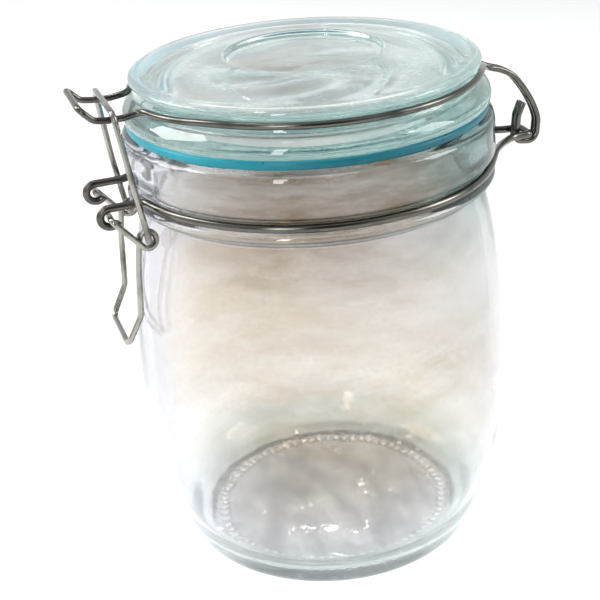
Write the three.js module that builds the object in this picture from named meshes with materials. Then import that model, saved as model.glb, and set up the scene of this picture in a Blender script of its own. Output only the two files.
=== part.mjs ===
// Clip-top preserving jar: glass jar, glass lid, rubber gasket and four bent wires.
// Millimetres, +Z up, origin at the centre of the underside, latch towards -Y, hinge towards +Y.
import * as THREE from 'three'

const TURN = 2 * Math.PI

// ---------------------------------------------------------------- sizes
const GLASS_SEGMENTS = 72
const JAR_OUTSIDE = [
  [0, 0], [41.2, 0], [42.6, 0.5], [43.7, 1.5], [44.7, 3.2], [45.8, 5.8], [47.3, 9.4], [49.6, 15.2],
  [52.0, 23.9], [53.2, 33.6], [54.1, 45.6], [54.3, 59.7], [53.8, 73.8], [52.4, 87.9],
  [50.4, 99.0], [49.3, 104.0], [48.5, 107.3], [48.6, 108.5], [49.6, 109.4], [51.0, 110.4],
  [51.8, 111.4], [51.4, 112.4], [50.2, 113.1], [49.6, 113.9], [49.6, 115.1], [50.2, 116.0],
  [51.4, 116.8], [51.9, 118.2], [51.9, 125.0], [51.4, 127.2], [50.3, 128.5], [49.0, 129.0],
]
const JAR_INSIDE = [
  [45.6, 129.0], [44.6, 128.4], [44.4, 127.2], [44.4, 119.5], [44.6, 113.0], [45.4, 107.0],
  [46.9, 100.0], [49.0, 88.0], [50.5, 74.0], [51.0, 60.0], [50.9, 46.0], [50.2, 34.0],
  [49.0, 24.0], [46.9, 15.8], [44.6, 10.4], [41.6, 6.9], [38.0, 5.2], [34.0, 4.6], [0, 4.5],
]
const LID_PROFILE = [
  [0, 132.4], [35.0, 131.9], [38.0, 130.2], [39.2, 127.6], [40.0, 126.8], [41.3, 126.8],
  [42.0, 127.5], [42.2, 131.9], [50.0, 131.9], [50.6, 132.4], [50.9, 133.7], [50.3, 135.2],
  [48.9, 136.6], [47.6, 137.8], [47.0, 138.8], [46.9, 140.2], [47.1, 141.3], [47.8, 141.9],
  [48.3, 142.7], [48.1, 143.4], [47.2, 143.9], [45.0, 144.4], [38.0, 145.3], [30.0, 145.9],
  [22.2, 146.4], [21.3, 146.2], [20.4, 145.5], [18.6, 145.2], [0, 145.1],
]
const GASKET_PROFILE = [
  [42.5, 129.5], [42.7, 129.3], [49.8, 129.3], [50.2, 129.7], [50.2, 131.2], [49.8, 131.6],
  [42.7, 131.6], [42.5, 131.4],
]

const BAND_WIRE_RADIUS = 1.1
const BAND_RING_RADIUS = 51.05
const BAND_HEIGHT = 114.5
const LID_WIRE_RADIUS = 0.9
const LID_RING_RADIUS = 48.3
const LID_WIRE_HEIGHT = 140.2
const LATCH_WIRE_RADIUS = 0.85

const EAR_X = 10.5
const EAR_EYE_RADIUS = 2.55
const LEVER_PIVOT = { out: 59.7, up: 111.7 }
const LEVER_ROD_X = 14.1
const LEVER_LEG_X = 12.1
const LEVER_PIN_END_X = 8.7
const COIL_CENTRE = { out: 50.8, up: 104.8 }
const COIL_RADIUS = 2.2
const LINK_X = 16.05
const LINK_BAR_X = 13.2
const LINK_PIN_END_X = 9.9
const HINGE_AXIS = { out: 67.0, up: 112.6 }
const HINGE_EYE_X = 3.6
const HINGE_LOOP_X = 1.1

// ---------------------------------------------------------------- materials
const glass = (color, opacity) => new THREE.MeshStandardMaterial({
  color, roughness: 0.04, metalness: 0, transparent: true, opacity,
})
const steel = () => new THREE.MeshStandardMaterial({ color: 0x8a8a86, roughness: 0.28, metalness: 1 })
const jarGlass = glass(0xdfe9ea, 0.35)
const lidGlass = glass(0xbfdcd8, 0.4)
const blueRubber = new THREE.MeshStandardMaterial({ color: 0x17b3d6, roughness: 0.42, metalness: 0 })

// ---------------------------------------------------------------- helpers
function turned(name, profile, material) {
  const points = profile.map(([radius, height]) => new THREE.Vector2(radius, height))
  const geometry = new THREE.LatheGeometry(points, GLASS_SEGMENTS)
  geometry.rotateX(Math.PI / 2)
  const mesh = new THREE.Mesh(geometry, material)
  mesh.name = name
  return mesh
}

// A curve whose steps fall exactly on the given points, so a straight run costs one step.
class PointCurve extends THREE.Curve {
  constructor(points) {
    super()
    this.points = points
  }
  at(t) {
    const place = t * (this.points.length - 1)
    const first = Math.min(Math.floor(place), this.points.length - 2)
    return [first, place - first]
  }
  getPoint(t, target = new THREE.Vector3()) {
    const [first, share] = this.at(t)
    return target.lerpVectors(this.points[first], this.points[first + 1], share)
  }
  getPointAt(t, target) {
    return this.getPoint(t, target)
  }
  getSpacedPoints(divisions) {
    return Array.from({ length: divisions + 1 }, (_, i) => this.getPoint(i / divisions))
  }
  getTangentAt(t, target = new THREE.Vector3()) {
    const near = Math.round(t * (this.points.length - 1))
    const before = this.points[Math.max(near - 1, 0)]
    const here = this.points[near]
    const after = this.points[Math.min(near + 1, this.points.length - 1)]
    const arriving = here.clone().sub(before).normalize()
    const leaving = after.clone().sub(here).normalize()
    return target.copy(arriving).add(leaving).normalize()
  }
}

// Rounds each inner corner of a polyline that has a bend radius: points are [x, y, z, bend].
function rounded(corners, stepAngle = Math.PI / 9) {
  const points = corners.map(([x, y, z]) => new THREE.Vector3(x, y, z))
  const path = [points[0]]
  for (let i = 1; i < points.length - 1; i++) {
    const bend = corners[i][3] || 0
    const toBefore = points[i - 1].clone().sub(points[i])
    const toAfter = points[i + 1].clone().sub(points[i])
    const angle = Math.PI - toBefore.angleTo(toAfter)
    if (!bend || angle < 0.05) {
      path.push(points[i])
      continue
    }
    const room = 0.48 * Math.min(toBefore.length(), toAfter.length())
    const cut = Math.min(bend * Math.tan(angle / 2), room)
    const radius = cut / Math.tan(angle / 2)
    const start = points[i].clone().add(toBefore.clone().setLength(cut))
    const inward = toBefore.clone().normalize().add(toAfter.clone().normalize()).normalize()
    const centre = points[i].clone().add(inward.multiplyScalar(radius / Math.cos(angle / 2)))
    const arm = start.clone().sub(centre)
    const axis = toAfter.clone().cross(toBefore).normalize()
    const steps = Math.max(2, Math.ceil(angle / stepAngle))
    for (let k = 0; k <= steps; k++) {
      path.push(arm.clone().applyAxisAngle(axis, (angle * k) / steps).add(centre))
    }
  }
  path.push(points[points.length - 1])
  return path.filter((p, i) => i === 0 || p.distanceTo(path[i - 1]) > 0.05)
}

function wire(name, path, radius, sides = 8) {
  const section = new THREE.Shape()
  for (let i = 0; i < sides; i++) {
    const angle = (TURN * (i + 0.5)) / sides
    const x = radius * Math.cos(angle)
    const y = radius * Math.sin(angle)
    if (i === 0) section.moveTo(x, y)
    else section.lineTo(x, y)
  }
  section.closePath()
  const geometry = new THREE.ExtrudeGeometry(section, {
    steps: path.length - 1,
    extrudePath: new PointCurve(path),
    bevelEnabled: false,
  })
  const mesh = new THREE.Mesh(geometry, steel())
  mesh.name = name
  return mesh
}

const mirrored = (path) => path.map((p) => new THREE.Vector3(-p.x, p.y, p.z)).reverse()

// Joins a right-hand half, which ends near x = 0, to its mirror image.
const bothHalves = (half) => [...half, ...mirrored(half)]

// Points of a smooth curve through the given ones.
const smooth = (points, count) =>
  new THREE.CatmullRomCurve3(points.map((p) => new THREE.Vector3(...p)), false, 'centripetal')
    .getPoints(count)
    .map((p) => [p.x, p.y, p.z])

// Points of a horizontal ring from one angle to another, counted from the front towards +X.
function ringArc(radius, height, fromDegrees, toDegrees, stepDegrees = 5) {
  const steps = Math.max(1, Math.round(Math.abs(toDegrees - fromDegrees) / stepDegrees))
  return Array.from({ length: steps + 1 }, (_, i) => {
    const angle = THREE.MathUtils.degToRad(fromDegrees + ((toDegrees - fromDegrees) * i) / steps)
    return [radius * Math.sin(angle), -radius * Math.cos(angle), height]
  })
}

// ---------------------------------------------------------------- neck band
// One wire: hooked ears at the front, round the neck, and a narrow eye at the back.
const BAND_BACK = smooth([
  [21.8, 46.6, BAND_HEIGHT], [17.8, 48.9, 114.3], [13.8, 51.6, 113.7], [9.8, 54.6, 113.1],
  [6.3, 57.8, HINGE_AXIS.up], [4.1, 61.0, HINGE_AXIS.up], [HINGE_EYE_X, 64.2, HINGE_AXIS.up],
], 14)

function neckBandPath() {
  const eye = []
  for (let degrees = -150; degrees <= 90; degrees += 20) {
    const angle = THREE.MathUtils.degToRad(degrees)
    eye.push([
      EAR_X,
      -(LEVER_PIVOT.out + EAR_EYE_RADIUS * Math.cos(angle)),
      LEVER_PIVOT.up + EAR_EYE_RADIUS * Math.sin(angle),
    ])
  }
  const half = [
    ...eye,
    [EAR_X, -54.7, 114.3, 6],
    [EAR_X, -50.2, BAND_HEIGHT, 3.2],
    ...ringArc(BAND_RING_RADIUS, BAND_HEIGHT, 18, 151),
    ...BAND_BACK,
    [HINGE_EYE_X, HINGE_AXIS.out, HINGE_AXIS.up, 1.6],
    [0, HINGE_AXIS.out, HINGE_AXIS.up],
  ]
  return bothHalves(rounded(half).slice(0, -1))
}

// ---------------------------------------------------------------- lid wire
// One wire: a raised nose at the front, round the groove, and two hooked ends at the back.
const LID_WIRE_BACK = smooth([
  [22.7, 42.65, 140.0], [19.6, 44.3, 139.6], [16.2, 46.0, 139.0], [12.2, 47.95, 138.0],
  [8.2, 49.85, 136.8], [4.9, 51.6, 135.6], [2.5, 53.4, 134.5], [1.3, 55.5, 133.6],
  [HINGE_LOOP_X, 59.1, 132.4], [HINGE_LOOP_X, 62.4, 130.5], [HINGE_LOOP_X, 65.0, 127.5],
  [HINGE_LOOP_X, 67.0, 124.6], [HINGE_LOOP_X, 69.0, 121.0], [HINGE_LOOP_X, 70.5, 117.1],
  [HINGE_LOOP_X, 70.75, 115.6],
], 28)

// The latch pulls the wire down a little where the nose leaves the groove.
const NOSE_DIP = 1.4
function pulledDown([x, y, z]) {
  const fromFront = THREE.MathUtils.radToDeg(Math.atan2(Math.abs(x), -y))
  return [x, y, z - NOSE_DIP * (1 - THREE.MathUtils.smoothstep(fromFront, 12, 48))]
}

function lidWirePath() {
  const half = [
    [0, -64.0, 141.8],
    [10.3, -64.0, 141.8, 2.4],
    [10.3, -60.6, 138.4, 3],
    [10.2, -57.0, 137.95, 8],
    [10.0, -53.0, 137.9, 8],
    [9.6, -47.6, LID_WIRE_HEIGHT - NOSE_DIP, 3],
    ...ringArc(LID_RING_RADIUS, LID_WIRE_HEIGHT, 18, 148).map(pulledDown),
    ...LID_WIRE_BACK,
    [HINGE_LOOP_X, 70.2, 109.3, 4],
    [HINGE_LOOP_X, 63.6, 110.3, 1.6],
    [HINGE_LOOP_X, 64.4, 118.0, 3],
    [HINGE_LOOP_X, 66.0, 121.8],
  ]
  return bothHalves(rounded(half).slice(1).reverse())
}

// ---------------------------------------------------------------- latch lever
// One wire: pivot pins in the ears, short rods, coils that hold the link, and the handle.
function latchLeverPath() {
  const toCentre = new THREE.Vector2(
    COIL_CENTRE.out - LEVER_PIVOT.out, COIL_CENTRE.up - LEVER_PIVOT.up,
  )
  const lean = Math.atan2(toCentre.y, toCentre.x)
  const wrapStart = lean + Math.acos(-COIL_RADIUS / toCentre.length())
  const wrapEnd = -TURN
  const coil = []
  const steps = 16
  let from = wrapStart
  while (from > 0) from -= TURN
  for (let i = 0; i <= steps; i++) {
    const share = i / steps
    const angle = from + (wrapEnd - from) * share
    coil.push([
      LEVER_ROD_X + (LEVER_LEG_X - LEVER_ROD_X) * share,
      -(COIL_CENTRE.out + COIL_RADIUS * Math.cos(angle)),
      COIL_CENTRE.up + COIL_RADIUS * Math.sin(angle),
    ])
  }
  const half = [
    [LEVER_PIN_END_X, -LEVER_PIVOT.out, LEVER_PIVOT.up],
    [LEVER_ROD_X, -LEVER_PIVOT.out, LEVER_PIVOT.up, 1.3],
    ...coil,
    [LEVER_LEG_X - 0.2, -54.0, 97.0, 10],
    [LEVER_LEG_X - 0.8, -54.8, 82.4, 6],
    [LEVER_LEG_X - 1.6, -59.2, 73.8, 2.6],
    [0, -59.2, 73.8],
  ]
  return bothHalves(rounded(half).slice(0, -1))
}

// ---------------------------------------------------------------- latch link
// One wire: pins through the lever's coils, two legs, and the bar that hooks over the nose.
function latchLinkPath() {
  const half = [
    [LINK_PIN_END_X, -COIL_CENTRE.out, COIL_CENTRE.up],
    [LINK_X, -COIL_CENTRE.out, COIL_CENTRE.up, 1.3],
    [LINK_X, -53.2, 119.5, 20],
    [LINK_BAR_X, -55.9, 140.1, 2.6],
    [0, -55.9, 140.1],
  ]
  return bothHalves(rounded(half).slice(0, -1))
}

// ---------------------------------------------------------------- the jar
const jar = new THREE.Group()
jar.name = 'clip_top_jar'
jar.add(
  turned('glass_jar', [...JAR_OUTSIDE, ...JAR_INSIDE], jarGlass),
  turned('glass_lid', LID_PROFILE, lidGlass),
  turned('gasket', [...GASKET_PROFILE, GASKET_PROFILE[0]], blueRubber),
  wire('neck_band', neckBandPath(), BAND_WIRE_RADIUS),
  wire('lid_wire', lidWirePath(), LID_WIRE_RADIUS),
  wire('latch_lever', latchLeverPath(), LATCH_WIRE_RADIUS),
  wire('latch_link', latchLinkPath(), LATCH_WIRE_RADIUS),
)

export default jar
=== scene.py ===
"""Looks of a clip-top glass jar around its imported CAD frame.

Metres, +Z up, latch towards -Y, hinge towards +Y. Shapes are built in mm and scaled by MM.
"""
import math

import bpy
from mathutils import Matrix, Quaternion, Vector


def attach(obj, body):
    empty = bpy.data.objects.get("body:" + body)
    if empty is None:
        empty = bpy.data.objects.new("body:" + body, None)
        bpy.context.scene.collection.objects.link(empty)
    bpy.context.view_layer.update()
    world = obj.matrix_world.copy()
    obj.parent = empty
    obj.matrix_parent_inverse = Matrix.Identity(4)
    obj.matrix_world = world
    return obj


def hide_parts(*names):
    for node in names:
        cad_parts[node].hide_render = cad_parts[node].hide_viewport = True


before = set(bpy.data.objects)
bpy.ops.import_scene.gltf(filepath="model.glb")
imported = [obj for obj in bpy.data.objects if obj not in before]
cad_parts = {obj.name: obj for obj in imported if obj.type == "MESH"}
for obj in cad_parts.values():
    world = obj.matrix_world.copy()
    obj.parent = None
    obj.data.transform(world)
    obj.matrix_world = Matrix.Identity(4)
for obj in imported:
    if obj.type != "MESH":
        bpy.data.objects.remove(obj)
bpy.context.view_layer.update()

MM = 0.001
TURN = 2 * math.pi

# ---------------------------------------------------------------- camera
CAMERA_PLACE = (0.34148, -0.10701, 0.23935)
CAMERA_FORWARD = (-0.86065, 0.27801, -0.42660)
CAMERA_ROLL_DEGREES = -3.413
CAMERA_LENS = 80.09
CAMERA_SHIFT_X = -0.05
CAMERA_CLIP = (0.01, 20)


def make_camera():
    forward = Vector(CAMERA_FORWARD).normalized()
    right = forward.cross(Vector((0, 0, 1))).normalized()
    up = right.cross(forward)
    roll = math.radians(CAMERA_ROLL_DEGREES)
    right, up = (
        right * math.cos(roll) + up * math.sin(roll),
        up * math.cos(roll) - right * math.sin(roll),
    )
    data = bpy.data.cameras.new("camera")
    data.lens = CAMERA_LENS
    data.shift_x = CAMERA_SHIFT_X
    data.clip_start, data.clip_end = CAMERA_CLIP
    camera = bpy.data.objects.new("camera", data)
    bpy.context.scene.collection.objects.link(camera)
    turn = Matrix((right, up, -forward)).transposed().to_4x4()
    camera.matrix_world = Matrix.Translation(Vector(CAMERA_PLACE)) @ turn
    bpy.context.scene.camera = camera


# ---------------------------------------------------------------- sizes in mm, as the CAD has them
# profiles are (radius, height) with more points than the CAD's, inside the same outline
# the recess under the base and its ring of beads are only here; the CAD's underside is flat
BASE_UNDERSIDE = [
    (0, 1.6), (16, 1.5), (26, 1.3), (31.4, 1.05), (32.9, 1.0), (33.5, 1.0), (34.1, 1.0),
    (34.8, 1.0), (35.5, 1.0), (36.2, 1.0), (36.8, 1.0), (37.4, 1.0), (38.8, 0.5), (40.0, 0.05),
]
JAR_OUTSIDE = [
    (41.2, 0), (42.6, 0.5), (43.7, 1.5), (44.7, 3.2), (45.8, 5.8), (47.3, 9.4), (49.6, 15.2),
    (52.0, 23.9), (53.2, 33.6), (54.1, 45.6), (54.3, 59.7), (53.8, 73.8), (52.4, 87.9),
    (50.4, 99.0), (49.3, 104.0), (48.5, 107.3), (48.3, 108.2), (48.7, 108.7), (49.6, 109.4),
    (51.0, 110.2), (51.8, 110.9), (51.8, 111.7), (51.3, 112.4), (50.2, 113.1), (49.6, 113.9),
    (49.6, 115.1), (50.2, 116.0), (51.3, 116.7), (51.9, 117.6), (51.9, 119.5), (51.9, 124.5),
    (51.8, 126.6), (51.2, 128.2), (49.0, 129.0),
]
JAR_INSIDE = [
    (45.6, 129.0), (44.6, 128.4), (44.4, 127.2), (44.4, 119.5), (44.6, 113.0), (45.4, 107.0),
    (46.9, 100.0), (49.0, 88.0), (50.5, 74.0), (51.0, 60.0), (50.9, 46.0), (50.2, 34.0),
    (49.0, 24.0), (46.9, 15.8), (44.6, 10.4), (41.6, 6.9), (38.0, 5.2), (34.0, 4.6),
    (24.0, 4.5), (0, 4.5),
]
LID_PROFILE = [
    (0, 132.4), (20, 132.3), (34.4, 131.9), (37.0, 130.9), (38.4, 129.2), (39.2, 127.6),
    (40.0, 126.8), (41.3, 126.8), (42.0, 127.5), (42.2, 129.0), (42.2, 131.8), (42.7, 131.92),
    (49.8, 131.92), (50.7, 132.2), (50.9, 133.7), (50.3, 135.2), (48.9, 136.6), (47.5, 137.8),
    (47.0, 138.8), (46.9, 140.2), (47.1, 141.2), (47.7, 141.7), (48.25, 142.4), (48.2, 143.2),
    (47.5, 143.75), (46.4, 144.1), (45.4, 144.0), (44.2, 144.45), (38.0, 145.3), (30.0, 145.9),
    (23.2, 146.35), (22.2, 146.4), (21.8, 146.2), (21.3, 145.3), (20.6, 144.85), (19.0, 144.8),
    (16.0, 144.9), (0, 144.9),
]
GASKET_PROFILE = [
    (42.5, 129.5), (42.7, 129.3), (45.6, 129.3), (49.3, 129.3), (50.1, 129.5), (50.25, 130.45),
    (50.1, 131.4), (49.3, 131.6), (45.6, 131.6), (42.7, 131.6), (42.5, 131.4),
]
BASE_BEADS = 75
BEAD_INNER = 33.3
BEAD_OUTER = 37.1
BEAD_DEPTH = 0.95
UNDERSIDE_TOP = 2
JAR_SEGMENTS = BASE_BEADS * 6
LID_SEGMENTS = 180

BAND_WIRE_RADIUS = 1.1
BAND_RING_RADIUS = 51.05
BAND_HEIGHT = 114.5
LID_WIRE_RADIUS = 0.9
LID_RING_RADIUS = 48.3
LID_WIRE_HEIGHT = 140.2
LATCH_WIRE_RADIUS = 0.85
EAR_X = 10.5
EAR_EYE_RADIUS = 2.55
LEVER_PIVOT = (59.7, 111.7)
LEVER_ROD_X = 14.1
LEVER_LEG_X = 12.1
LEVER_PIN_END_X = 8.7
COIL_CENTRE = (50.8, 104.8)
COIL_RADIUS = 2.2
LINK_X = 16.05
LINK_BAR_X = 13.2
LINK_PIN_END_X = 9.9
HINGE_AXIS = (67.0, 112.6)
HINGE_EYE_X = 3.6
HINGE_LOOP_X = 1.1
NOSE_DIP = 1.4

# ---------------------------------------------------------------- patterns and glass
# noise patterns: scale, detail, roughness, stretch
PAINTED_REFLECTION_STREAKS = (24, 7, 0.76, (1, 1, 4.6))
GLASS_CLOUDS = (34, 3, 0.55, (1, 1, 1.6))
GLASS_SMEARS = (26, 4, 0.6, (1, 1, 2.2))
GLASS_DUST = (700, 3, 0.7)
GLASS_WAVES = (42, 1, 0.4, (1, 1, 0.45))
GLASS_SPECKS = (330, 3, 0.65)
GLASS_GRAIN = (1500, 2, 0.6)
INNER_CLOUDS = (60, 5, 0.6, (1, 2.4, 1))
# painted sparkles on the base, and their groups
PAINTED_SPARKLES = (330, 3, 0.6)
PAINTED_SPARKLE_GROUPS = (75, 1, 0.5)
RUBBER_CLOUDS = (55, 3, 0.55)
RUBBER_GRAIN = (2600, 3, 0.6)
WIRE_STREAKS = (1.0, 4, 0.65, (90, 22, 1))
WIRE_PATCHES = (95, 3, 0.6)
WIRE_PITS = (1900, 2, 0.5)
FLOOR_CLOUDS = (3, 2, 0.5)
SKY_CLOUDS = (2.2, 2, 0.5)

# bands over which a mask goes from none to all, in metres along Y, across the radius or up
HINGE_SIDE = (0.008, 0.046)
# LATCH_SIDE: where the glass's painted light grows towards the latch
LATCH_SIDE = (-0.053, -0.028)
# the bead ring, its top and BASE_TOP bound the painted highlights under the base
BEAD_RING_START = (0.0325, 0.0330)
BEAD_RING_END = (0.0372, 0.0378)
BEAD_TOP = (0.0003, 0.0009)
BASE_TOP = (0.006, 0.008)
# LATCH_OUTLINE and the tint after it: painted shade greying the outline on the latch's side
LATCH_OUTLINE = (-0.99, -0.88)
LATCH_OUTLINE_PAINTED_SHADE = (0.79, 0.805, 0.87, 1)
WHITE = (1, 1, 1, 1)

# tints list (height in metres, colour in the middle, colour towards the hinge): the glass's own
# tint under painted reflection and painted shade; edge is the colour between the streaks;
# outline_painted_shade is how much the outline on the latch's side is greyed as painted shade; the
# inner zone lies near the axis, where the jar's base gets a painted shadow; haze is a cloudy zone
# near the wall
CLEAR_GLASS = {
    "name": "clear_glass",
    "absorbed": (0.84, 0.885, 0.90, 1),
    "density": 52,
    "waviness": 0.10,
    # the body's beige bands and the brown neck are painted reflection of the surroundings, and the
    # dark base is painted shadow, over a faint tint of the glass
    "tints_and_painted_shade": [
        (0.0, (0.36, 0.42, 0.415), (0.36, 0.43, 0.42)),
        (0.008, (0.50, 0.56, 0.555), (0.50, 0.58, 0.57)),
        (0.020, (0.84, 0.84, 0.84), (0.84, 0.87, 0.88)),
        (0.040, (0.73, 0.65, 0.54), (0.78, 0.76, 0.76)),
        (0.062, (0.65, 0.54, 0.40), (0.70, 0.68, 0.66)),
        (0.092, (0.67, 0.62, 0.56), (0.68, 0.69, 0.68)),
        (0.106, (0.50, 0.46, 0.43), (0.42, 0.52, 0.51)),
        (0.116, (0.20, 0.13, 0.06), (0.08, 0.26, 0.24)),
        (0.129, (0.18, 0.16, 0.13), (0.08, 0.27, 0.25)),
    ],
    "edge": (0.97, 0.965, 0.985, 1),
    "outline_painted_shade": 0.8,
    "inner_radius": (0.0400, 0.0410),
    "inner_height": (0.0055, 0.0075),
    # inner_dark and inner_light: painted shadow of the floor under the base, seen through it
    "inner_dark": (0.30, 0.31, 0.33),
    "inner_light": (0.52, 0.52, 0.52),
    "clearness": (0.985, 0.93),
    "haze": 0.22,
    "haze_radius": (0.041, 0.044),
    "haze_height": (0.018, 0.008),
}
AQUA_GLASS = {
    "name": "aqua_glass",
    "absorbed": (0.74, 0.92, 0.90, 1),
    "density": 14,
    "waviness": 0.12,
    # the lid's own aqua tint, darkened lower down by painted shade on the skirt and on the rim
    # under the wire
    "tints_and_painted_shade": [
        (0.126, (0.40, 0.52, 0.51), (0.55, 0.73, 0.69)),
        (0.136, (0.44, 0.56, 0.55), (0.65, 0.87, 0.81)),
        (0.1405, (0.50, 0.64, 0.62), (0.66, 0.87, 0.82)),
        (0.1432, (0.60, 0.74, 0.72), (0.74, 0.93, 0.88)),
        (0.1440, (0.92, 0.96, 0.94), (0.92, 1.0, 0.97)),
        (0.147, (0.96, 0.975, 0.955), (0.94, 1.0, 0.97)),
    ],
    "edge": (0.88, 0.95, 0.93, 1),
    "outline_painted_shade": 0.5,
    "inner_radius": (0.036, 0.0405),
    "inner_height": (0.2, 0.3),
    "inner_dark": (0.97, 1.0, 0.99),
    "inner_light": (1.0, 1.0, 0.99),
    "clearness": (0.972, 0.87),
    "haze": 0.15,
    "haze_radius": (0.037, 0.045),
    "haze_height": (0.139, 0.1415),
}
# a darker copy of the steel for the band and lid wire: painted shade for the grooves they lie in
SHADED_BAND_STEEL_TINT = (0.135, 0.13, 0.115)
LATCH_STEEL_TINT = (0.37, 0.36, 0.33)
# the seal's colour around it is painted light and shade: bright cyan at the latch, dark teal
# towards the hinge
RUBBER_PAINTED_LIGHT = [
    (0.0, (0.03, 0.60, 0.72)), (0.22, (0.010, 0.40, 0.50)), (0.45, (0.003, 0.19, 0.25)),
    (1.0, (0.003, 0.20, 0.28)),
]
RUBBER_PATCH = (0.01, 0.36, 0.45, 1)


# ---------------------------------------------------------------- node helpers
def new_material(name):
    material = bpy.data.materials.new(name)
    material.use_nodes = True
    tree = material.node_tree
    shader = tree.nodes["Principled BSDF"]
    return material, tree, shader


def add_node(tree, kind, **values):
    node = tree.nodes.new(kind)
    for key, value in values.items():
        setattr(node, key, value)
    return node


def noise(tree, source, scale, detail=2.0, roughness=0.5, stretch=(1, 1, 1)):
    mapping = add_node(tree, "ShaderNodeMapping")
    mapping.inputs["Scale"].default_value = stretch
    tree.links.new(source, mapping.inputs["Vector"])
    node = add_node(tree, "ShaderNodeTexNoise")
    node.inputs["Scale"].default_value = scale
    node.inputs["Detail"].default_value = detail
    node.inputs["Roughness"].default_value = roughness
    tree.links.new(mapping.outputs["Vector"], node.inputs["Vector"])
    return node.outputs["Fac"]


def ramp(tree, source, stops):
    """Colours by value: stops are (value, colour)."""
    node = add_node(tree, "ShaderNodeValToRGB")
    elements = node.color_ramp.elements
    while len(elements) < len(stops):
        elements.new(0.5)
    for element, (place, colour) in zip(elements, stops):
        element.position = place
        element.color = (*colour, 1)
    tree.links.new(source, node.inputs["Fac"])
    return node.outputs["Color"]


def spread(tree, source, low, high, start=0.0, end=1.0):
    """Maps start..end of a value onto low..high."""
    node = add_node(tree, "ShaderNodeMapRange")
    node.inputs["From Min"].default_value = start
    node.inputs["From Max"].default_value = end
    node.inputs["To Min"].default_value = low
    node.inputs["To Max"].default_value = high
    tree.links.new(source, node.inputs["Value"])
    return node.outputs["Result"]


def bump(tree, shader, heights):
    """Chains bumps, each (height socket, strength, distance in metres)."""
    last = None
    for height, strength, distance in heights:
        node = add_node(tree, "ShaderNodeBump")
        node.inputs["Strength"].default_value = strength
        node.inputs["Distance"].default_value = distance
        tree.links.new(height, node.inputs["Height"])
        if last is not None:
            tree.links.new(last, node.inputs["Normal"])
        last = node.outputs["Normal"]
    tree.links.new(last, shader.inputs["Normal"])


def blended(tree, how, share, first, second):
    """Mixes two colours, each a socket or a fixed colour."""
    node = add_node(tree, "ShaderNodeMix", data_type="RGBA", blend_type=how, clamp_result=True)
    tree.links.new(share, node.inputs[0])
    sockets = [socket for socket in node.inputs if socket.type == "RGBA"]
    for socket, value in zip(sockets, (first, second)):
        if isinstance(value, tuple):
            socket.default_value = value
        else:
            tree.links.new(value, socket)
    return [socket for socket in node.outputs if socket.type == "RGBA"][0]


def maths(tree, how, first, second):
    """One arithmetic step on two values, each a socket or a number."""
    node = add_node(tree, "ShaderNodeMath", operation=how)
    for socket, value in zip(node.inputs, (first, second)):
        if isinstance(value, (int, float)):
            socket.default_value = value
        else:
            tree.links.new(value, socket)
    return node.outputs[0]


def from_axis(tree, place):
    """Distance of a point from the jar's axis."""
    flat = add_node(tree, "ShaderNodeVectorMath", operation="MULTIPLY")
    flat.inputs[1].default_value = (1, 1, 0)
    tree.links.new(place, flat.inputs[0])
    length = add_node(tree, "ShaderNodeVectorMath", operation="LENGTH")
    tree.links.new(flat.outputs[0], length.inputs[0])
    return length.outputs["Value"]


def glass_tint_and_painted_light(tree, glass, place, across, height, radius, painted_highlights, disc):
    """Colour of the glass: streaks of painted reflection over the edge colour, painted light
    towards the latch, painted shade on the latch's outline, and the zone near the axis, where the
    jar's base has a painted shadow.
    """
    tints_and_painted_shade = glass["tints_and_painted_shade"]
    low, high = tints_and_painted_shade[0][0], tints_and_painted_shade[-1][0]
    level = spread(tree, height, 0, 1, low, high)
    middle = ramp(tree, level, [((z - low) / (high - low), colour) for z, colour, _ in tints_and_painted_shade])
    hinge = ramp(tree, level, [((z - low) / (high - low), colour) for z, _, colour in tints_and_painted_shade])
    tint = blended(tree, "MIX", spread(tree, across, 0, 1, *HINGE_SIDE), middle, hinge)
    # streaks of painted reflection
    streaks = noise(tree, place, *PAINTED_REFLECTION_STREAKS)
    # painted light: the glass turns lighter towards the latch, the lit side
    fade = spread(tree, across, 0.15, 1, *LATCH_SIDE)
    share = maths(tree, "MULTIPLY", spread(tree, streaks, 0.55, 1.0, 0.36, 0.62), fade)
    colour = blended(tree, "MIX", share, glass["edge"], tint)
    # painted shade: the outline on the latch's side is greyed towards a lavender tint
    sideways = maths(tree, "DIVIDE", across, radius)
    outline = spread(tree, sideways, glass["outline_painted_shade"], 0, *LATCH_OUTLINE)
    colour = blended(tree, "MULTIPLY", outline, colour, LATCH_OUTLINE_PAINTED_SHADE)
    # near the axis: painted shadow under the jar's base, in dark and light clouds, made bright
    # where the painted highlights are
    inner = ramp(
        tree, noise(tree, place, *INNER_CLOUDS),
        [(0.36, glass["inner_dark"]), (0.64, glass["inner_light"])],
    )
    inner = blended(tree, "MIX", painted_highlights, inner, WHITE)
    return blended(tree, "MIX", disc, colour, inner)


def base_highlights(tree, place, height, radius):
    """Painted highlights: bright beads under the base, and a few groups of painted sparkles inside
    them.
    """
    beads = maths(
        tree, "MULTIPLY",
        spread(tree, radius, 0, 1, *BEAD_RING_START), spread(tree, height, 1, 0, *BEAD_TOP),
    )
    beads = maths(tree, "MULTIPLY", beads, spread(tree, radius, 1, 0, *BEAD_RING_END))
    painted_sparkles = maths(
        tree, "MULTIPLY",
        spread(tree, noise(tree, place, *PAINTED_SPARKLES), 0, 1, 0.56, 0.62),
        spread(tree, noise(tree, place, *PAINTED_SPARKLE_GROUPS), 0, 1, 0.63, 0.68),
    )
    painted_sparkles = maths(tree, "MULTIPLY", painted_sparkles, spread(tree, height, 1, 0, *BASE_TOP))
    return maths(tree, "MAXIMUM", beads, painted_sparkles)


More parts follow.
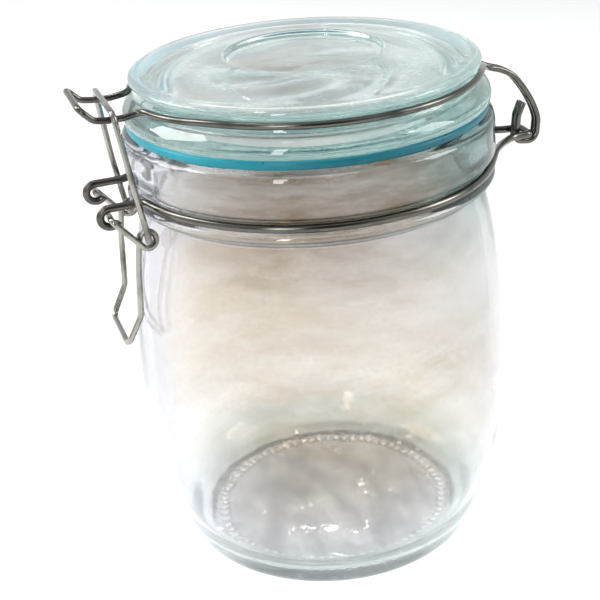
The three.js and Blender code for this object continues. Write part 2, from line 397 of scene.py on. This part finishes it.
def glass_material(glass):
    """Old pressed glass, from one of the tables above, with painted shade, reflection and
    highlights in its colour.
    """
    material, tree, shader = new_material(glass["name"])
    shader.inputs["IOR"].default_value = 1.5
    place = add_node(tree, "ShaderNodeTexCoord").outputs["Object"]
    parts = add_node(tree, "ShaderNodeSeparateXYZ")
    tree.links.new(place, parts.inputs["Vector"])
    across, height = parts.outputs["Y"], parts.outputs["Z"]
    radius = from_axis(tree, place)
    # disc: the zone near the axis; on the jar it takes the painted shadow under the base
    disc = maths(
        tree, "MULTIPLY",
        spread(tree, radius, 1, 0, *glass["inner_radius"]),
        spread(tree, height, 1, 0, *glass["inner_height"]),
    )
    painted_highlights = base_highlights(tree, place, height, radius)
    colour = glass_tint_and_painted_light(tree, glass, place, across, height, radius, painted_highlights, disc)
    tree.links.new(colour, shader.inputs["Base Color"])

    smears = noise(tree, place, *GLASS_SMEARS)
    tree.links.new(spread(tree, smears, 0.0, 0.04, 0.5, 0.8), shader.inputs["Roughness"])
    clear = spread(tree, noise(tree, place, *GLASS_CLOUDS), *glass["clearness"], 0.35, 0.7)
    zone = maths(
        tree, "MULTIPLY",
        spread(tree, radius, 0, glass["haze"], *glass["haze_radius"]),
        spread(tree, height, 0, 1, *glass["haze_height"]),
    )
    dust = spread(tree, noise(tree, place, *GLASS_DUST), 0.0, 0.13, 0.55, 0.70)
    # painted highlights: their glass is made less clear, so the bright painted colour shows
    painted_highlight_film = maths(tree, "MULTIPLY", maths(tree, "MULTIPLY", painted_highlights, disc), 0.75)
    for cloudy in (zone, dust, painted_highlight_film):
        clear = maths(tree, "SUBTRACT", clear, cloudy)
    tree.links.new(clear, shader.inputs["Transmission Weight"])

    bump(tree, shader, [
        (noise(tree, place, *GLASS_WAVES), glass["waviness"], 0.0012),
        (noise(tree, place, *GLASS_SPECKS), 0.06, 0.0003),
        (noise(tree, place, *GLASS_GRAIN), 0.03, 0.0001),
    ])
    volume = add_node(tree, "ShaderNodeVolumeAbsorption")
    volume.inputs["Color"].default_value = glass["absorbed"]
    volume.inputs["Density"].default_value = glass["density"]
    output = tree.nodes["Material Output"]
    tree.links.new(volume.outputs["Volume"], output.inputs["Volume"])
    return material


def rubber_material():
    """Blue rubber with painted light: brightest at the latch, where light comes through it, and
    painted shade towards the hinge.
    """
    material, tree, shader = new_material("seal_rubber")
    place = add_node(tree, "ShaderNodeTexCoord").outputs["Object"]
    clouds = noise(tree, place, *RUBBER_CLOUDS)
    parts = add_node(tree, "ShaderNodeSeparateXYZ")
    tree.links.new(place, parts.inputs["Vector"])
    around = ramp(tree, spread(tree, parts.outputs["Y"], 0, 1, -0.050, 0.050), RUBBER_PAINTED_LIGHT)
    patches = spread(tree, clouds, 0.0, 0.30, 0.35, 0.65)
    colour = blended(tree, "MIX", patches, around, RUBBER_PATCH)
    tree.links.new(colour, shader.inputs["Base Color"])
    shader.inputs["IOR"].default_value = 1.41
    shader.inputs["Transmission Weight"].default_value = 0.5
    shader.inputs["Subsurface Weight"].default_value = 0.25
    shader.inputs["Subsurface Radius"].default_value = (0.6, 1.0, 1.0)
    shader.inputs["Subsurface Scale"].default_value = 0.002
    tree.links.new(spread(tree, clouds, 0.26, 0.44, 0.3, 0.7), shader.inputs["Roughness"])
    bump(tree, shader, [(noise(tree, place, *RUBBER_GRAIN), 0.15, 0.0001)])
    return material


def steel_material(name, tint):
    """Drawn wire: streaks run along it, from the UV map, with dull patches and fine pits."""
    material, tree, shader = new_material(name)
    shader.inputs["Metallic"].default_value = 1.0
    coordinates = add_node(tree, "ShaderNodeTexCoord")
    place = coordinates.outputs["Object"]
    streaks = noise(tree, coordinates.outputs["UV"], *WIRE_STREAKS)
    patches = noise(tree, place, *WIRE_PATCHES)
    dark = tuple(0.50 * c for c in tint)
    light = tuple(1.18 * c for c in tint)
    colour = ramp(tree, patches, [(0.32, dark), (0.50, tint), (0.72, light)])
    tree.links.new(colour, shader.inputs["Base Color"])
    rough = maths(
        tree, "ADD",
        spread(tree, streaks, 0.06, 0.19, 0.3, 0.7), spread(tree, patches, 0.10, 0.0, 0.35, 0.6),
    )
    tree.links.new(rough, shader.inputs["Roughness"])
    pits = noise(tree, place, *WIRE_PITS)
    bump(tree, shader, [(streaks, 0.10, 0.0002), (pits, 0.10, 0.0001)])
    return material


def floor_material():
    material, tree, shader = new_material("floor")
    place = add_node(tree, "ShaderNodeTexCoord").outputs["Object"]
    soft = noise(tree, place, *FLOOR_CLOUDS)
    colour = ramp(tree, soft, [(0.3, (0.93, 0.93, 0.925)), (0.7, (0.95, 0.95, 0.945))])
    tree.links.new(colour, shader.inputs["Base Color"])
    shader.inputs["Roughness"].default_value = 0.9
    shader.inputs["Specular IOR Level"].default_value = 0.1
    return material


# ---------------------------------------------------------------- turned pieces
ON_AXIS = 1e-6
WAVY_FROM, WAVY_TO = 8, 106
MIDDLE_OF_WALL = 1.4


def softened(profile, passes):
    """Cuts every corner of a profile again and again, which leaves a smooth curve inside it."""
    points = [Vector(p) for p in profile]
    for _ in range(passes):
        cut = [points[0]]
        for a, b in zip(points, points[1:]):
            cut.append(a.lerp(b, 0.25))
            cut.append(a.lerp(b, 0.75))
        cut.append(points[-1])
        points = cut
    return [(p.x, p.y) for p in points]


def turned(name, profile, segments, material, shape=None, closed=False):
    """Revolves a profile of (radius, height). shape(radius, height, angle) may move a point."""
    vertices = []
    faces = []
    rows = []
    for radius, height in profile:
        if radius < ON_AXIS:
            rows.append([len(vertices)])
            vertices.append((0, 0, height * MM))
            continue
        row = []
        for i in range(segments):
            angle = TURN * i / segments
            r, z = shape(radius, height, angle) if shape else (radius, height)
            row.append(len(vertices))
            vertices.append((r * math.cos(angle) * MM, r * math.sin(angle) * MM, z * MM))
        rows.append(row)
    pairs = list(zip(rows, rows[1:]))
    if closed:
        pairs.append((rows[-1], rows[0]))
    for a, b in pairs:
        for i in range(segments):
            j = (i + 1) % segments
            if len(a) == 1:
                faces.append((a[0], b[j], b[i]))
            elif len(b) == 1:
                faces.append((a[i], a[j], b[0]))
            else:
                faces.append((a[i], a[j], b[j], b[i]))
    return new_piece(name, vertices, faces, material)


def new_piece(name, vertices, faces, material, uvs=None):
    mesh = bpy.data.meshes.new(name)
    mesh.from_pydata(vertices, [], faces)
    if uvs:
        layer = mesh.uv_layers.new(name="along")
        for loop, uv in zip(layer.data, uvs):
            loop.uv = uv
    mesh.polygons.foreach_set("use_smooth", [True] * len(mesh.polygons))
    mesh.materials.append(material)
    mesh.update()
    piece = bpy.data.objects.new(name, mesh)
    bpy.context.scene.collection.objects.link(piece)
    return piece


def jar_shape(radius, height, angle):
    """Beads under the base, and the slight unevenness of the inner wall."""
    if BEAD_INNER < radius < BEAD_OUTER and height < UNDERSIDE_TOP:
        across = math.sin(math.pi * (radius - BEAD_INNER) / (BEAD_OUTER - BEAD_INNER))
        round_it = 0.5 + 0.5 * math.cos(BASE_BEADS * angle)
        return radius, height - BEAD_DEPTH * across * round_it
    if WAVY_FROM < height < WAVY_TO and is_inside(radius, height):
        fade = min(1, (height - WAVY_FROM) / 12, (WAVY_TO - height) / 10)
        wave = 0.12 * math.sin(2 * angle + 0.035 * height)
        wave += 0.05 * math.sin(5 * angle - 0.10 * height + 1.0)
        wave += 0.02 * math.sin(3 * angle + 0.33 * height)
        return radius + fade * wave, height
    return radius, height


def is_inside(radius, height):
    """True for a point on the jar's inner wall: nearer the axis than the middle of the wall."""
    for (r0, z0), (r1, z1) in zip(JAR_OUTSIDE, JAR_OUTSIDE[1:]):
        if z0 <= height <= z1 and z1 > z0:
            outer = r0 + (r1 - r0) * (height - z0) / (z1 - z0)
            return radius < outer - MIDDLE_OF_WALL
    return False


def lid_shape(radius, height, angle):
    """Pressed glass: the underside is a little uneven."""
    if height < 133 and radius < 36:
        dip = 0.12 * math.sin(3 * angle + radius * 0.2) * min(1, radius / 12)
        return radius, height + dip
    return radius, height


# ---------------------------------------------------------------- wires
SHORTEST_STEP = 0.04
# a wire's end, from the tip inwards: (share of the radius, how far from the tip in radii)
END_DOME = [(0.42, 0.0), (0.75, 0.06), (0.93, 0.18)]
DOME_END = 0.35
MM_PER_UV = 10


def smooth(points, count):
    """Points of a centripetal Catmull-Rom curve through the given ones."""
    knots = [Vector(p) for p in points]
    knots = [2 * knots[0] - knots[1], *knots, 2 * knots[-1] - knots[-2]]
    out = []
    spans = len(knots) - 3
    for k in range(count + 1):
        place = k / count * spans
        i = min(int(place), spans - 1)
        share = place - i
        p0, p1, p2, p3 = knots[i:i + 4]
        t1 = (p1 - p0).length ** 0.5
        t2 = t1 + (p2 - p1).length ** 0.5
        t3 = t2 + (p3 - p2).length ** 0.5
        t = t1 + (t2 - t1) * share
        a1 = p0 * ((t1 - t) / t1) + p1 * (t / t1)
        a2 = p1 * ((t2 - t) / (t2 - t1)) + p2 * ((t - t1) / (t2 - t1))
        a3 = p2 * ((t3 - t) / (t3 - t2)) + p3 * ((t - t2) / (t3 - t2))
        b1 = a1 * ((t2 - t) / t2) + a2 * (t / t2)
        b2 = a2 * ((t3 - t) / (t3 - t1)) + a3 * ((t - t1) / (t3 - t1))
        c = b1 * ((t2 - t) / (t2 - t1)) + b2 * ((t - t1) / (t2 - t1))
        out.append(tuple(c))
    return out


def rounded(corners, step=math.radians(7)):
    """Rounds each corner that has a bend radius: corners are (x, y, z) or (x, y, z, bend)."""
    points = [Vector(c[:3]) for c in corners]
    path = [points[0]]
    for i in range(1, len(points) - 1):
        bend = corners[i][3] if len(corners[i]) > 3 else 0
        before = points[i - 1] - points[i]
        after = points[i + 1] - points[i]
        angle = math.pi - before.angle(after)
        if not bend or angle < 0.05:
            path.append(points[i])
            continue
        room = 0.48 * min(before.length, after.length)
        cut = min(bend * math.tan(angle / 2), room)
        radius = cut / math.tan(angle / 2)
        start = points[i] + before.normalized() * cut
        inward = (before.normalized() + after.normalized()).normalized()
        centre = points[i] + inward * (radius / math.cos(angle / 2))
        arm = start - centre
        axis = after.cross(before).normalized()
        steps = max(3, math.ceil(angle / step))
        for k in range(steps + 1):
            path.append(centre + Quaternion(axis, angle * k / steps) @ arm)
    path.append(points[-1])
    kept = [path[0]]
    for p in path[1:]:
        if (p - kept[-1]).length > SHORTEST_STEP:
            kept.append(p)
    return kept


def ring_arc(radius, height, from_degrees, to_degrees, step_degrees=2.5):
    steps = max(1, round(abs(to_degrees - from_degrees) / step_degrees))
    out = []
    for i in range(steps + 1):
        angle = math.radians(from_degrees + (to_degrees - from_degrees) * i / steps)
        out.append((radius * math.sin(angle), -radius * math.cos(angle), height))
    return out


def both_halves(half):
    """Joins a right-hand half, which ends near x = 0, to its mirror image."""
    return [*half, *[Vector((-p.x, p.y, p.z)) for p in reversed(half)]]


def evened(path, longest):
    """Splits long straight runs, so that the mesh has even steps along the wire."""
    out = [path[0]]
    for a, b in zip(path, path[1:]):
        parts = max(1, math.ceil((b - a).length / longest))
        for k in range(1, parts + 1):
            out.append(a.lerp(b, k / parts))
    return out


def wire_rings(path, radius):
    """Cross-sections along a path, each (centre, side, other side, share of the radius)."""
    count = len(path)
    tangents = []
    for i in range(count):
        a = path[max(i - 1, 0)]
        b = path[min(i + 1, count - 1)]
        arriving = (path[i] - a).normalized() if i else (b - path[i]).normalized()
        leaving = (b - path[i]).normalized() if i < count - 1 else arriving
        tangents.append((arriving + leaving).normalized())
    side = tangents[0].orthogonal().normalized()
    rings = []
    for i in range(count):
        if i:
            turn = tangents[i - 1].rotation_difference(tangents[i])
            side = (turn @ side).normalized()
        side = (side - tangents[i] * side.dot(tangents[i])).normalized()
        rings.append((path[i], side.copy(), tangents[i].cross(side), 1.0))
    first, last = rings[0], rings[-1]
    inward, outward = tangents[0] * radius, tangents[-1] * radius
    start = [(first[0] + inward * back, first[1], first[2], size) for size, back in END_DOME]
    finish = [
        (last[0] - outward * back, last[1], last[2], size) for size, back in reversed(END_DOME)
    ]
    rings[0] = (first[0] + inward * DOME_END, first[1], first[2], 1.0)
    rings[-1] = (last[0] - outward * DOME_END, last[1], last[2], 1.0)
    return [*start, *rings, *finish]


def wire(name, path, radius, material, sides=20, longest=2.5):
    """A round wire with domed ends along a path in mm, with a UV map that runs along it."""
    rings = wire_rings(evened(path, longest), radius)
    vertices = []
    lengths = []
    travelled = 0.0
    for i, (centre, u, v, size) in enumerate(rings):
        if i:
            travelled += (centre - rings[i - 1][0]).length
        lengths.append(travelled / MM_PER_UV)
        for k in range(sides):
            angle = TURN * k / sides
            point = centre + (u * math.cos(angle) + v * math.sin(angle)) * radius * size
            vertices.append(tuple(point * MM))
    faces = []
    uvs = []
    for i in range(len(rings) - 1):
        for k in range(sides):
            j = (k + 1) % sides
            faces.append((i * sides + k, i * sides + j, (i + 1) * sides + j, (i + 1) * sides + k))
            uvs += [
                (lengths[i], k / sides), (lengths[i], (k + 1) / sides),
                (lengths[i + 1], (k + 1) / sides), (lengths[i + 1], k / sides),
            ]
    top = (len(rings) - 1) * sides
    faces.append(tuple(reversed(range(sides))))
    uvs += [(lengths[0], 0.5)] * sides
    faces.append(tuple(range(top, top + sides)))
    uvs += [(lengths[-1], 0.5)] * sides
    return new_piece(name, vertices, faces, material, uvs)


def neck_band_path():
    out, up = LEVER_PIVOT
    eye = []
    for k in range(31):
        angle = math.radians(-150 + 8 * k)
        eye.append((
            EAR_X, -(out + EAR_EYE_RADIUS * math.cos(angle)), up + EAR_EYE_RADIUS * math.sin(angle),
        ))
    back = smooth([
        (21.8, 46.6, BAND_HEIGHT), (17.8, 48.9, 114.3), (13.8, 51.6, 113.7), (9.8, 54.6, 113.1),
        (6.3, 57.8, HINGE_AXIS[1]), (4.1, 61.0, HINGE_AXIS[1]), (HINGE_EYE_X, 64.2, HINGE_AXIS[1]),
    ], 24)
    half = [
        *eye,
        (EAR_X, -54.7, 114.3, 6),
        (EAR_X, -50.2, BAND_HEIGHT, 3.2),
        *ring_arc(BAND_RING_RADIUS, BAND_HEIGHT, 18, 151),
        *back,
        (HINGE_EYE_X, *HINGE_AXIS, 1.6),
        (0, *HINGE_AXIS),
    ]
    return both_halves(rounded(half)[:-1])


def pulled_down(point):
    """The latch pulls the lid wire down a little where its nose leaves the groove."""
    x, y, z = point
    from_front = math.degrees(math.atan2(abs(x), -y))
    share = min(max((from_front - 12) / 36, 0), 1)
    share = share * share * (3 - 2 * share)
    return x, y, z - NOSE_DIP * (1 - share)


def lid_wire_path():
    back = smooth([
        (22.7, 42.65, 140.0), (19.6, 44.3, 139.6), (16.2, 46.0, 139.0), (12.2, 47.95, 138.0),
        (8.2, 49.85, 136.8), (4.9, 51.6, 135.6), (2.5, 53.4, 134.5), (1.3, 55.5, 133.6),
        (HINGE_LOOP_X, 59.1, 132.4), (HINGE_LOOP_X, 62.4, 130.5), (HINGE_LOOP_X, 65.0, 127.5),
        (HINGE_LOOP_X, 67.0, 124.6), (HINGE_LOOP_X, 69.0, 121.0), (HINGE_LOOP_X, 70.5, 117.1),
        (HINGE_LOOP_X, 70.75, 115.6),
    ], 70)
    half = [
        (0, -64.0, 141.8),
        (10.3, -64.0, 141.8, 2.4),
        (10.3, -60.6, 138.4, 3),
        (10.2, -57.0, 137.95, 8),
        (10.0, -53.0, 137.9, 8),
        (9.6, -47.6, LID_WIRE_HEIGHT - NOSE_DIP, 3),
        *[pulled_down(p) for p in ring_arc(LID_RING_RADIUS, LID_WIRE_HEIGHT, 18, 148)],
        *back,
        (HINGE_LOOP_X, 70.2, 109.3, 4),
        (HINGE_LOOP_X, 63.6, 110.3, 1.6),
        (HINGE_LOOP_X, 64.4, 118.0, 3),
        (HINGE_LOOP_X, 66.0, 121.8),
    ]
    return both_halves(list(reversed(rounded(half)[1:])))


def latch_lever_path():
    out, up = COIL_CENTRE
    arm = Vector((out - LEVER_PIVOT[0], up - LEVER_PIVOT[1]))
    lean = math.atan2(arm.y, arm.x)
    start = lean + math.acos(-COIL_RADIUS / arm.length)
    while start > 0:
        start -= TURN
    steps = 44
    coil = []
    for i in range(steps + 1):
        share = i / steps
        angle = start + (-TURN - start) * share
        coil.append((
            LEVER_ROD_X + (LEVER_LEG_X - LEVER_ROD_X) * share,
            -(out + COIL_RADIUS * math.cos(angle)),
            up + COIL_RADIUS * math.sin(angle),
        ))
    half = [
        (LEVER_PIN_END_X, -LEVER_PIVOT[0], LEVER_PIVOT[1]),
        (LEVER_ROD_X, -LEVER_PIVOT[0], LEVER_PIVOT[1], 1.3),
        *coil,
        (LEVER_LEG_X - 0.2, -54.0, 97.0, 10),
        (LEVER_LEG_X - 0.8, -54.8, 82.4, 6),
        (LEVER_LEG_X - 1.6, -59.2, 73.8, 2.6),
        (0, -59.2, 73.8),
    ]
    return both_halves(rounded(half)[:-1])


def latch_link_path():
    half = [
        (LINK_PIN_END_X, -COIL_CENTRE[0], COIL_CENTRE[1]),
        (LINK_X, -COIL_CENTRE[0], COIL_CENTRE[1], 1.3),
        (LINK_X, -53.2, 119.5, 20),
        (LINK_BAR_X, -55.9, 140.1, 2.6),
        (0, -55.9, 140.1),
    ]
    return both_halves(rounded(half)[:-1])


# ---------------------------------------------------------------- light and floor
DARK_SIDE = (0.85, -0.30, 0.43)
SKY = [
    (0.0, (0.95, 0.95, 0.95)), (0.50, (1.0, 1.0, 1.0)), (0.60, (0.86, 0.87, 0.88)),
    (0.78, (0.52, 0.53, 0.54)), (1.0, (0.78, 0.79, 0.80)),
]
# name, place, aim, size, watts
LIGHTS = [
    ("key", (-0.50, -0.75, 0.75), (0, 0, 0.08), (0.5, 0.7), 9),
    ("fill", (0.35, 0.85, 0.60), (0, 0, 0.08), (0.4, 0.6), 5),
    ("strip", (0.75, -0.55, 0.55), (0, 0, 0.10), (0.12, 0.7), 3),
    ("sparkle", (-0.22, -0.10, 0.85), (0, 0, 0.05), (0.045, 0.045), 0.8),
]
FLOOR_SIDE = 6.0
FLOOR_STEPS = 12
FLOOR_DROP = 0.0002


def scaled(tree, colour, share):
    node = add_node(tree, "ShaderNodeVectorMath", operation="SCALE")
    tree.links.new(colour, node.inputs[0])
    tree.links.new(share, node.inputs["Scale"])
    return node.outputs[0]


def make_world():
    """Soft studio light, bright all round but for one darker side that the steel mirrors."""
    world = bpy.data.worlds.new("studio")
    bpy.context.scene.world = world
    world.use_nodes = True
    tree = world.node_tree
    background = tree.nodes["Background"]
    direction = add_node(tree, "ShaderNodeTexCoord").outputs["Generated"]
    parts = add_node(tree, "ShaderNodeSeparateXYZ")
    tree.links.new(direction, parts.inputs["Vector"])
    colour = ramp(tree, spread(tree, parts.outputs["Z"], 0, 1, -1, 1), SKY)
    clouds = noise(tree, direction, *SKY_CLOUDS)
    colour = scaled(tree, colour, spread(tree, clouds, 0.62, 1.25, 0.3, 0.7))
    facing = add_node(tree, "ShaderNodeVectorMath", operation="DOT_PRODUCT")
    facing.inputs[1].default_value = DARK_SIDE
    tree.links.new(direction, facing.inputs[0])
    colour = scaled(tree, colour, spread(tree, facing.outputs["Value"], 1, 0.10, 0.72, 0.90))
    tree.links.new(colour, background.inputs["Color"])
    background.inputs["Strength"].default_value = 1.0


def add_light(name, place, aim, size, watts):
    data = bpy.data.lights.new(name, "AREA")
    data.shape = "RECTANGLE"
    data.size, data.size_y = size
    data.energy = watts
    light = bpy.data.objects.new(name, data)
    bpy.context.scene.collection.objects.link(light)
    light.location = place
    light.rotation_mode = "QUATERNION"
    light.rotation_quaternion = (Vector(aim) - Vector(place)).to_track_quat("-Z", "Y")


def make_floor():
    vertices = []
    faces = []
    for i in range(FLOOR_STEPS + 1):
        for j in range(FLOOR_STEPS + 1):
            x = FLOOR_SIDE * (i / FLOOR_STEPS - 0.5)
            y = FLOOR_SIDE * (j / FLOOR_STEPS - 0.5)
            vertices.append((x, y, -FLOOR_DROP))
    for i in range(FLOOR_STEPS):
        for j in range(FLOOR_STEPS):
            a = i * (FLOOR_STEPS + 1) + j
            faces.append((a, a + FLOOR_STEPS + 1, a + FLOOR_STEPS + 2, a + 1))
    floor = new_piece("floor", vertices, faces, floor_material())


# ---------------------------------------------------------------- the jar
def finish_piece(piece, body, node):
    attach(piece, body)
    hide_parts(node)


def make_jar():
    clear = glass_material(CLEAR_GLASS)
    aqua = glass_material(AQUA_GLASS)
    rubber = rubber_material()
    # the band and lid wire take the darker steel: painted shade for their grooves
    shaded_steel = steel_material("band_steel_painted_shade", SHADED_BAND_STEEL_TINT)
    steel = steel_material("wire_steel", LATCH_STEEL_TINT)

    profile = [
        *softened(BASE_UNDERSIDE, 1), *softened(JAR_OUTSIDE, 2), *softened(JAR_INSIDE, 1),
    ]
    jar = turned("jar_glass", profile, JAR_SEGMENTS, clear, jar_shape)
    finish_piece(jar, "jar", "glass_jar")
    lid = turned("lid_glass", softened(LID_PROFILE, 2), LID_SEGMENTS, aqua, lid_shape)
    finish_piece(lid, "lid", "glass_lid")
    # the glass lets the light through to the floor
    jar.visible_shadow = False
    lid.visible_shadow = False
    ring = softened([*GASKET_PROFILE, GASKET_PROFILE[0]], 2)[:-1]
    seal = turned("seal_ring", ring, LID_SEGMENTS, rubber, closed=True)
    finish_piece(seal, "lid", "gasket")

    for name, path, radius, body, node, metal in (
        ("neck_band_wire", neck_band_path(), BAND_WIRE_RADIUS, "jar", "neck_band", shaded_steel),
        ("lid_bail_wire", lid_wire_path(), LID_WIRE_RADIUS, "lid", "lid_wire", shaded_steel),
        ("lever_wire", latch_lever_path(), LATCH_WIRE_RADIUS, "lever", "latch_lever", steel),
        ("link_wire", latch_link_path(), LATCH_WIRE_RADIUS, "link", "latch_link", steel),
    ):
        piece = wire(name, path, radius, metal)
        finish_piece(piece, body, node)


make_camera()
make_world()
make_floor()
make_jar()
for light in LIGHTS:
    add_light(*light)
bpy.context.scene.view_settings.view_transform = "Standard"
